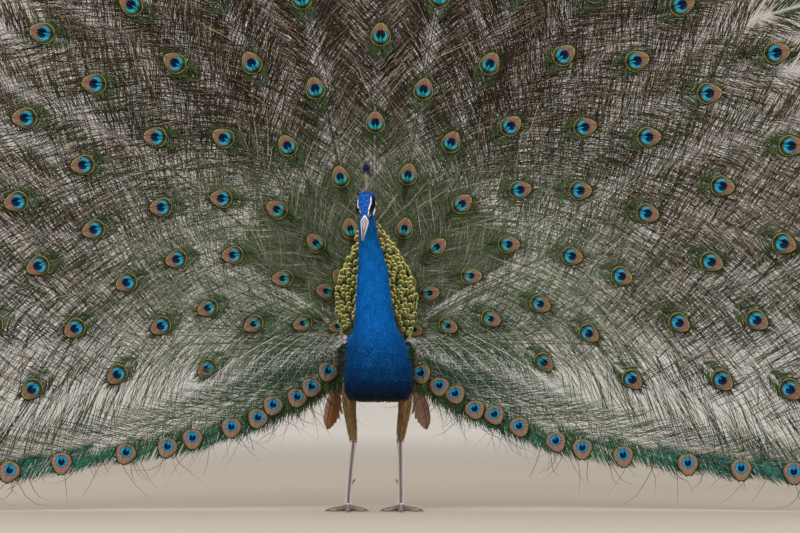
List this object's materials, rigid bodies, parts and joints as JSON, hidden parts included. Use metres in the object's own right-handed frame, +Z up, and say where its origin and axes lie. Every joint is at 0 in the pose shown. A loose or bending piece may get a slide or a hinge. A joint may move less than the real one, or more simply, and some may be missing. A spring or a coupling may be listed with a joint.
{
  "type": "peacock",
  "caption": "Still, life-size model of an Indian peafowl cock standing in full display, train fanned upright behind the breast.",
  "frame": {"origin": "centre of the bounding box in plan, on the floor that the feet stand on", "axes": "+X to the bird's left across the fan, +Y from the breast to the tail, +Z up; the bird faces -Y"},
  "size_m": [2.4912, 0.4683, 1.5907],
  "materials": {
    "blue_plumage": "satin iridescent cobalt",
    "mantle_plumage": "metallic gold-green scales",
    "back_plumage": "satin dark green",
    "rump_down": "matte down",
    "shank_down": "matte down",
    "leg_scale": "satin horny scutes",
    "horn": "satin horn",
    "eye": "wet gloss",
    "crest_plumage": "satin",
    "wing_covert": "matte barred",
    "wing_quill": "matte chestnut",
    "train_plumage": "satin bronze-green",
    "tail_plumage": "matte grey-brown"
  },
  "bodies": {
    "root": {"bill_lower": "horn", "bill_upper": "horn", "breast": "blue_plumage", "claw_hind_left": "horn", "claw_hind_right": "horn", "claw_inner_left": "horn", "claw_inner_right": "horn", "claw_middle_left": "horn", "claw_middle_right": "horn", "claw_outer_left": "horn", "claw_outer_right": "horn", "crest": "crest_plumage", "eye_left": "eye", "eye_right": "eye", "head": "blue_plumage", "mantle": "mantle_plumage", "neck_lower": "blue_plumage", "neck_upper": "blue_plumage", "primaries_left": "wing_quill", "primaries_right": "wing_quill", "rump": "rump_down", "spur_left": "horn", "spur_right": "horn", "tail_1": "tail_plumage", "tail_2": "tail_plumage", "tail_3": "tail_plumage", "tarsus_left": "leg_scale", "tarsus_right": "leg_scale", "thigh_left": "shank_down", "thigh_right": "shank_down", "toe_hind_left": "leg_scale", "toe_hind_right": "leg_scale", "toe_inner_left": "leg_scale", "toe_inner_right": "leg_scale", "toe_middle_left": "leg_scale", "toe_middle_right": "leg_scale", "toe_outer_left": "leg_scale", "toe_outer_right": "leg_scale", "train_01": "train_plumage", "train_02": "train_plumage", "train_03": "train_plumage", "train_04": "train_plumage", "train_05": "train_plumage", "train_06": "train_plumage", "train_07": "train_plumage", "train_08": "train_plumage", "train_09": "train_plumage", "train_10": "train_plumage", "train_11": "train_plumage", "train_12": "train_plumage", "trunk": "back_plumage", "wing_left": "wing_covert", "wing_right": "wing_covert"}
  },
  "joints": []
}
